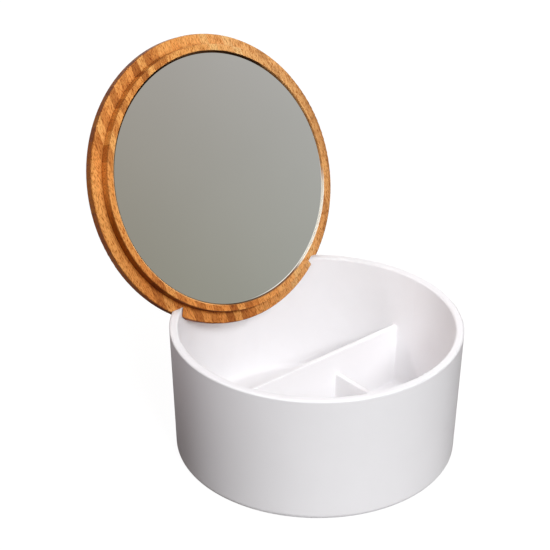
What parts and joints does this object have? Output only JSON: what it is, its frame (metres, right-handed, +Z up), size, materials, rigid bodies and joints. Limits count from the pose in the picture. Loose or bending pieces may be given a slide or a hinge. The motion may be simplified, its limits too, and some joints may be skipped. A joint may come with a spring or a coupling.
{
  "type": "storage box with mirror lid",
  "caption": "Round white plastic storage box with low dividers and a lift-off wooden lid that carries a round mirror and stands in the rim by two notches.",
  "frame": {"origin": "centre of the foot ring, on the surface that the box stands on", "axes": "+Z up, +Y to the back where the lid stands, X along the long divider"},
  "size_m": [0.1724, 0.2179, 0.2167],
  "materials": {
    "white_plastic": "smooth satin moulding",
    "bamboo": "glued strips, clear satin lacquer",
    "mirror": "silvered float glass",
    "foam_tape": "double-sided foam tape"
  },
  "bodies": {
    "box": {"compartment_box": "white_plastic"},
    "lid": {"lid_board": "bamboo", "mirror_glass": "mirror", "mirror_tape": "foam_tape"}
  },
  "joints": [
    {"name": "lid_lift", "type": "slide", "parent": "box", "child": "lid", "axis": [0, 0, 1], "range_m": [0, 0.06]}
  ]
}
